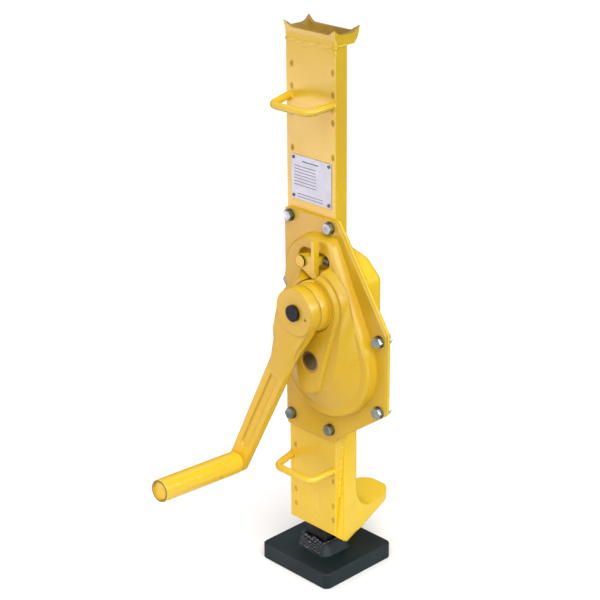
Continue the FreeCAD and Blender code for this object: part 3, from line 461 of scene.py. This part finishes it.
# %% Seams of the housing
claw_top = box_mm("claw")[1].z
cheek_x = side_x - 0.8
cheek_start = Vector((cheek_x, back_y - 4, claw_top - 1))
cheek_end = Vector((cheek_x, front_y + 1, bottom_z + 6))
cheek_share = 0.62
head_seam_x = side_x - 0.4
handle_root_x = 37
seams = bmesh.new()
bead(seams, cheek_start, cheek_start.lerp(cheek_end, cheek_share), width=4.4, pitch=1.3, wander=0.9)
bead(seams, (head_seam_x, front_y + 2, top_z), (head_seam_x, back_y - 1, top_z), width=2.6, pitch=1.4)
for handle in ("upper_handle", "lower_handle"):
    for x in (-handle_root_x, handle_root_x):
        round_bead(seams, (x, front_y, middle_of(handle).z), radius=5.2, width=2.8, pitch=1.6)
keep_piece(seams, "housing_welds", "yellow_paint", "housing")

# %% [markdown]
# ## The joint below the head
# The head was welded on all round and the front was only roughly ground. What is left is a row of
# flat, uneven lumps under the head, made here from squeezed scales, and a short bead at the corner.

# %% Rough weld below the head
lumps = 23
lump_margin = 4
lump_radius = 3.2
lump_squeeze = (1.8, 0.14, 0.8)
joint_y, joint_z = front_y + 0.2, top_z - 2.0
corner_low = (side_x - 2.2, front_y + 1.6, top_z - 9)
corner_high = (side_x - 1.8, front_y + 1.2, top_z + 4)
patch = bmesh.new()
for step in range(lumps):
    x = left_x + lump_margin + (side_x - left_x - 2 * lump_margin) * step / (lumps - 1)
    z = joint_z + uneven(step, (1.8, 2.1), (1.1, 5.3))
    weld_scale(patch, (x, joint_y, z), lump_radius + uneven(step, (1.2, 1.7)), lump_squeeze)
bead(patch, corner_low, corner_high, width=5.6, pitch=2.4)
keep_piece(patch, "head_weld_band", "yellow_paint", "housing")

# %% [markdown]
# ## The darker bowl
# The bowl's floor, its walls and its rim are a darker brown than the rest of the head. The head's own
# faces that look upwards are copied and lifted by a hair, which leaves a thin darker skin that follows
# the bowl up to the tips of the horns.

# %% Darker bowl
skin_lift = 0.15
least_upward = 0.1
bowl = bmesh.new()
bowl.from_mesh(nodes["head"].data)
bmesh.ops.remove_doubles(bowl, verts=bowl.verts, dist=touching * MM)
outside = [face for face in bowl.faces if face.normal.z < least_upward]
bmesh.ops.delete(bowl, geom=outside, context="FACES")
bowl.normal_update()
for vert in bowl.verts:
    vert.co += vert.normal * skin_lift * MM
bowl_piece = keep_piece(bowl, "bowl_dark_skin", "dark_bowl_brown", "housing")
bowl_piece.data.shade_flat()

# %% [markdown]
# ## Weld on the foot
# The rack stands in a raised socket that is closed by a thick weld. It was painted black and glossy,
# so its lumps catch the light where the plain foot stays dark. Steps of the golden ratio scatter the
# lumps evenly over the socket's front slope without any chance in it.

# %% Weld on the foot
rack_low, rack_high = box_mm("rack")
socket_top = box_mm("foot_plate")[1].z
socket_lumps = 34
golden = 0.618034
second_pace = golden * golden * 1.7
lump_reach = 3
socket_lump_radius = 3.0
bead_gap = 2
slope_run, slope_drop = 8.4, 14.0
weld_front = rack_low.y - lump_reach
foot_weld = bmesh.new()
for step in range(socket_lumps):
    along = (step * golden) % 1.0
    fall = (step * second_pace) % 1.0
    x = rack_low.x - lump_reach + (rack_high.x - rack_low.x + 2 * lump_reach) * along
    place = (x, weld_front - slope_run * fall, socket_top - slope_drop * fall)
    squeeze = (1.0, 0.6, 0.8 + uneven(step, (0.35, 4.1)))
    weld_scale(foot_weld, place, socket_lump_radius + uneven(step, (1.2, 2.3)), squeeze)
for x in (rack_high.x + bead_gap, rack_low.x - bead_gap):
    bead(foot_weld, (x, weld_front, socket_top), (x, rack_high.y, socket_top), width=5.0, pitch=2.2)
keep_piece(foot_weld, "foot_weld", "glossy_black", "stand")

# %% [markdown]
# ## Plug welds
# The front plate was welded to the guide behind it through drilled holes. Each fill stands as a
# shallow cup with a raised lip, in two columns near the plate's edges. A circle is inset and pushed
# out or in four times, which leaves a lip and a hollow without any list of points.

# %% Plug welds
plug_radius = 3.7
plug_stretch = Matrix.Diagonal((0.8, 1, 1.15, 1))
plug_steps = ((0.22, 0.5), (0.18, 0.3), (0.2, -0.5), (0.16, -0.28))


def cup(mesh, x, z):
    flat = Matrix.Translation(Vector((x, front_y, z)) * MM) @ plug_stretch
    disc = bmesh.ops.create_circle(mesh, cap_ends=True, segments=20, radius=plug_radius * MM,
                                   matrix=flat @ Matrix.Rotation(math.pi / 2, 4, "X"))
    face = disc["verts"][0].link_faces[0]
    for inset_share, push in plug_steps:
        bmesh.ops.inset_individual(mesh, faces=[face], thickness=plug_radius * inset_share * MM)
        bmesh.ops.translate(mesh, verts=face.verts, vec=Vector((0, -push, 0)) * MM)


left_plug_x, left_plug_heights = -32, (678, 650, 617, 573, 166, 101, 79)
right_plug_x, right_plug_heights = 37.5, (678, 651, 617, 574, 137, 101, 80)
plugs = bmesh.new()
for z in left_plug_heights:
    cup(plugs, left_plug_x, z)
for z in right_plug_heights:
    cup(plugs, right_plug_x, z)
# The cups get a darker yellow as painted shade
keep_piece(plugs, "plug_welds", "plug_shade_paint", "housing")

# %% [markdown]
# ## Ruled lines on the plate
# The plate is kept bare of words. Plain printed rules fill it instead: a short heading rule, a block
# of rows and two rows at the foot. Each rule is a thin flat bar on the plate's face.

# %% Ruled lines
plate_low, plate_high = box_mm("nameplate")
plate_wide = plate_high.x - plate_low.x
print_depth = 0.12
row_thick = 0.9
heading_drop, heading_thick = 7, 1.5
first_row_drop, row_pitch = 14, 4.0
foot_row_rise, foot_row_pitch = 7.5, 3.6


def across_plate(share):
    return plate_low.x + share * plate_wide


def rule(mesh, start_x, end_x, z, thick):
    size = Matrix.Diagonal((end_x - start_x, print_depth, thick, 1))
    place = Matrix.Translation(Vector(((start_x + end_x) / 2, plate_low.y, z)))
    bmesh.ops.create_cube(mesh, size=1.0, matrix=Matrix.Scale(MM, 4) @ place @ size)


print_rows = bmesh.new()
rule(print_rows, across_plate(0.28), across_plate(0.68), plate_high.z - heading_drop, heading_thick)
for row in range(7):
    z = plate_high.z - first_row_drop - row_pitch * row
    rule(print_rows, plate_low.x + 5, across_plate(0.62), z, row_thick)
for row in range(2):
    z = plate_low.z + foot_row_rise - foot_row_pitch * row
    rule(print_rows, across_plate(0.16), across_plate(0.80), z, row_thick)
keep_piece(print_rows, "plate_rules", "grey_print", "housing")

# %% [markdown]
# ## Directions of the crank
# The crank hangs at a slant, so what lies on it doesn't follow x, y or z. Typed angles would be wrong
# as soon as the model changes. So three directions are worked out from its cap and from the washer of
# its grip: down the arm, across it and outwards, away from the housing.

# %% Directions of the crank
cap_middle = middle_of("end_cap")
cap_back_y = box_mm("end_cap")[1].y
washer = middle_of("grip_washer")
hub_depth = 16.3
hub = Vector((cap_middle.x, cap_back_y + hub_depth, cap_middle.z))
down = (washer - hub).normalized()
across = Vector((0, 1, 0)).cross(down).normalized()
outward = across.cross(down)
if outward.y > 0:
    outward.negate()
print("crank runs along", [round(value, 3) for value in down])

# %% [markdown]
# ## The crank's forged neck
# On the real crank the arm grows out of the eye in one soft forged neck. A small grid is laid over
# it like a cloth: each row has its own half width and its own height above the arm, the outer
# columns sink into the arm, and a Subdivision modifier rounds the whole. Bevelled boxes would show
# their corners here, where the real neck has none.

# %% Forged neck
# A row is its distance from the hub, half width, height above the arm and share of rounding
neck_rows = [(6, 29.5, 15.0, 0.0), (30, 26.6, 13.4, 0.0), (52, 23.0, 10.8, 0.0), (74, 19.8, 7.4, 0.3),
             (94, 17.4, 3.2, 0.6), (112, 15.0, -0.9, 1.0)]
# A column is its side, share of the height and move inwards on rounded rows
neck_columns = [(-1.0, 0.0, 0.0), (-1.0, 0.5, 0.2), (-0.84, 1.0, 0.3), (0.0, 1.0, 0.0), (0.84, 1.0, -0.3),
                (1.0, 0.5, -0.2), (1.0, 0.0, 0.0)]
neck_sink = 1.5
last_row, last_column = len(neck_rows) - 1, len(neck_columns) - 1
neck = bmesh.new()
bmesh.ops.create_grid(neck, x_segments=last_column, y_segments=last_row, size=0.5)
for vert in neck.verts:
    far, half, height, rounding = neck_rows[round((vert.co.y + 0.5) * last_row)]
    side, lift, inward = neck_columns[round((vert.co.x + 0.5) * last_column)]
    sideways = across * (side + inward * rounding) * half
    raised = outward * (lift * (height + neck_sink) - neck_sink)
    vert.co = (hub + down * far + sideways + raised) * MM
# The neck gets the crank's darker yellow, as painted shade
neck_piece = keep_piece(neck, "forged_neck", "shaded_crank_yellow", "crank")
round_off = neck_piece.modifiers.new("rounded", "SUBSURF")
round_off.levels = round_off.render_levels = 3

# %% [markdown]
# ## Painted shade on the end of the grip
# The rim of the grip's free end gets a dark olive ring as painted shade. A flat disc is inset and its
# middle taken out, which leaves a thin ring on the end.

# %% Shaded ring on the grip
grip_middle = middle_of("grip_sleeve")
grip_half_length = 65.6
rim_radius = 14.2
rim_width = 2.4
grip_way = (grip_middle - washer).normalized()
grip_end = grip_middle + grip_way * grip_half_length
turned = Matrix.Translation(grip_end * MM) @ grip_way.to_track_quat("Z", "Y").to_matrix().to_4x4()
# The dark olive ring is painted shade on the rim
stain_and_shade = bmesh.new()
disc = bmesh.ops.create_circle(stain_and_shade, cap_ends=True, segments=48, radius=rim_radius * MM, matrix=turned)
middle = disc["verts"][0].link_faces[0]
bmesh.ops.inset_individual(stain_and_shade, faces=[middle], thickness=rim_width * MM)
bmesh.ops.delete(stain_and_shade, geom=[middle], context="FACES_ONLY")
keep_piece(stain_and_shade, "grip_rim_shade", "rim_shade_olive", "grip")

# %% [markdown]
# ## Painted shade round the pawl's pin
# A short open tube, a hair wider than the pin's head, is dark as painted shade round its side, and
# shows as a dark crescent from the camera's side.

# %% Painted shade on the pin
pin_low, pin_high = box_mm("pawl_pin")
pin_middle = middle_of("pawl_pin")
shade_depth = 2.6
shade_inset = 0.3
shade_skin = 0.1
shade_radius = (pin_high.x - pin_low.x) / 2 + shade_skin
shade_place = Vector((pin_middle.x, pin_low.y + shade_inset + shade_depth / 2, pin_middle.z))
tube = Matrix.Translation(shade_place * MM) @ Matrix.Rotation(math.pi / 2, 4, "X")
shade_tube = bmesh.new()
bmesh.ops.create_cone(shade_tube, segments=40, radius1=shade_radius * MM, radius2=shade_radius * MM,
                      depth=shade_depth * MM, matrix=tube)
# The tube is painted shade round the pin's head
keep_piece(shade_tube, "pin_shade_tube", "pin_shade_dark", "housing")

# %% [markdown]
# ## The floor
# The jack stands on a plain pale floor that melts into a white background. A white floor would also
# throw much light back up under the claw, so a Light Path node shows white only to the camera. To
# other rays the floor is a grey that grows darker with distance, like a small sheet of paper.

# %% Floor


def make_floor_paint():
    pale = bpy.data.materials.new("pale_floor")
    pale.use_nodes = True
    tree = pale.node_tree
    shader = tree.nodes["Principled BSDF"]
    shader.inputs["Roughness"].default_value = 0.9
    shader.inputs["Specular IOR Level"].default_value = 0.1
    place = tree.nodes.new("ShaderNodeTexCoord").outputs["Object"]
    reach = tree.nodes.new("ShaderNodeVectorMath")
    reach.operation = "LENGTH"
    tree.links.new(place, reach.inputs[0])
    bounce = spread(tree, reach.outputs["Value"], (0.4, 1.2), (0.75, 0.1))
    white = spread(tree, add_noise(tree, place, Scale=3.0), (0.0, 1.0), (0.98, 1.0))
    seen = tree.nodes.new("ShaderNodeLightPath").outputs["Is Camera Ray"]
    tree.links.new(mix_colours(tree, seen, bounce, white), shader.inputs["Base Color"])
    return pale


def make_floor(half_width):
    mesh = bmesh.new()
    bmesh.ops.create_grid(mesh, x_segments=2, y_segments=2, size=half_width)
    data = bpy.data.meshes.new("floor")
    mesh.to_mesh(data)
    mesh.free()
    data.materials.append(make_floor_paint())
    floor = bpy.data.objects.new("floor", data)
    bpy.context.scene.collection.objects.link(floor)
    print("floor", 2 * half_width, "m wide")


make_floor(half_width=12.0)

# %% [markdown]
# ## Placing a light
# A photographer places a lamp by its bearing round the object, its distance and its height, and then
# points it. These helpers do the same, with bearings counted from the front towards the right. A sheen
# panel is an area light that is hidden from diffuse rays, so it shows only in the gloss of the paint.

# %% Helpers for lights


def heading_of(azimuth, elevation):
    turn, rise = math.radians(azimuth), math.radians(elevation)
    return Vector((math.sin(turn) * math.cos(rise), -math.cos(turn) * math.cos(rise), math.sin(rise)))


def place_light(name, lamp, location, target):
    light = bpy.data.objects.new(name, lamp)
    light.location = location
    light.rotation_euler = (location - target).to_track_quat("Z", "Y").to_euler()
    bpy.context.scene.collection.objects.link(light)
    print(name, "at", [round(value, 2) for value in location])
    return light


def soft_sun(name, azimuth, elevation, width, power):
    lamp = bpy.data.lights.new(name, "SUN")
    lamp.energy = power
    lamp.angle = math.radians(width)
    place_light(name, lamp, heading_of(azimuth, elevation), Vector())


def panel(name, azimuth, distance, height, size, aim_height, power, colour=(1, 1, 1)):
    lamp = bpy.data.lights.new(name, "AREA")
    lamp.shape = "RECTANGLE"
    lamp.size, lamp.size_y = size
    lamp.energy = power
    lamp.color = colour
    place = heading_of(azimuth, 0) * distance + Vector((0, 0, height))
    return place_light(name, lamp, place, Vector((0, 0, aim_height)))


def sheen_panel(name, **measures):
    panel(name, **measures).visible_diffuse = False


print("light helpers ready")

# %% [markdown]
# ## Studio light
# A wide soft sun from the right and one from above give the yellow its body. Two warm panels at the
# front left lay the pale veil on the front faces, and a low one at the right lifts the claw. The sheen
# panels only draw bright lines on rounded edges. A brighter sun could too, but it would burn the colour.

# %% Lights
peach = (1.0, 0.8, 0.88)
soft_sun("key", azimuth=56, elevation=42, width=60, power=2.15)
soft_sun("overhead", azimuth=0, elevation=90, width=120, power=1.8)
panel("low_front_left", azimuth=-46, distance=1.2, height=0.2, size=(1.0, 0.36), aim_height=0.6, power=4.4,
      colour=peach)
panel("high_front_left", azimuth=-44, distance=2.0, height=1.0, size=(0.5, 0.5), aim_height=0.2, power=3.0,
      colour=peach)
sheen_panel("front_strip", azimuth=14, distance=1.3, height=0.4, size=(0.16, 0.5), aim_height=0.4, power=4.2)
panel("low_right", azimuth=75, distance=0.9, height=0.12, size=(0.7, 0.2), aim_height=0.1, power=1.5)
sheen_panel("rim_right", azimuth=134, distance=1.8, height=0.95, size=(0.4, 0.4), aim_height=0.4, power=3.6)
sheen_panel("case_spark", azimuth=108, distance=1.8, height=1.0, size=(0.5, 0.5), aim_height=0.4, power=12.0)
sheen_panel("crest_spark", azimuth=52, distance=2.2, height=1.9, size=(0.3, 0.3), aim_height=0.4, power=3.0)
bpy.context.scene.view_settings.view_transform = "Standard"

# %% [markdown]
# ## The white background
# Behind the floor's edge the camera sees the world. It has to be white there and yet light the jack
# only a little, so its strength is one for rays from the camera and low for all others.

# %% White background


def make_background(seen_strength, fill_strength):
    world = bpy.data.worlds.new("studio")
    world.use_nodes = True
    tree = world.node_tree
    sky = tree.nodes["Background"]
    sky.inputs["Color"].default_value = (1, 1, 1, 1)
    seen = tree.nodes.new("ShaderNodeLightPath").outputs["Is Camera Ray"]
    strength = spread(tree, seen, (0.0, 1.0), (fill_strength, seen_strength))
    tree.links.new(strength, sky.inputs["Strength"])
    bpy.context.scene.world = world
    print("background", world.name)


make_background(seen_strength=1.0, fill_strength=0.12)

# %% [markdown]
# ## The camera
# The camera stands at the photograph's view. Its heading, rise and roll turn it, and the point that it
# looks at and its distance place it. The lens follows from the focal length in pixels, so the picture
# is taken to be square with the side given here.

# %% Camera


def make_camera(heading, rise, roll, distance, aim_side, aim_height, focal_pixels, image_side):
    back = heading_of(heading, rise)
    right = heading_of(heading + 90, 0)
    up = back.cross(right)
    tilt = math.radians(roll)
    level = right * math.cos(tilt) + up * math.sin(tilt)
    upright = up * math.cos(tilt) - right * math.sin(tilt)
    lens = bpy.data.cameras.new("photo_view")
    lens.sensor_width = 36.0
    lens.lens = focal_pixels / image_side * lens.sensor_width
    camera = bpy.data.objects.new("photo_view", lens)
    aim = right * aim_side + Vector((0, 0, aim_height))
    turn = Matrix((level, upright, back)).transposed().to_4x4()
    camera.matrix_world = Matrix.Translation(aim + back * distance) @ turn
    bpy.context.scene.collection.objects.link(camera)
    bpy.context.scene.camera = camera
    print("lens", round(lens.lens, 2), "mm")


make_camera(heading=46.04, rise=22.26, roll=-0.51, distance=2.1334, aim_side=-0.0328, aim_height=0.373,
            focal_pixels=1687.5, image_side=600)
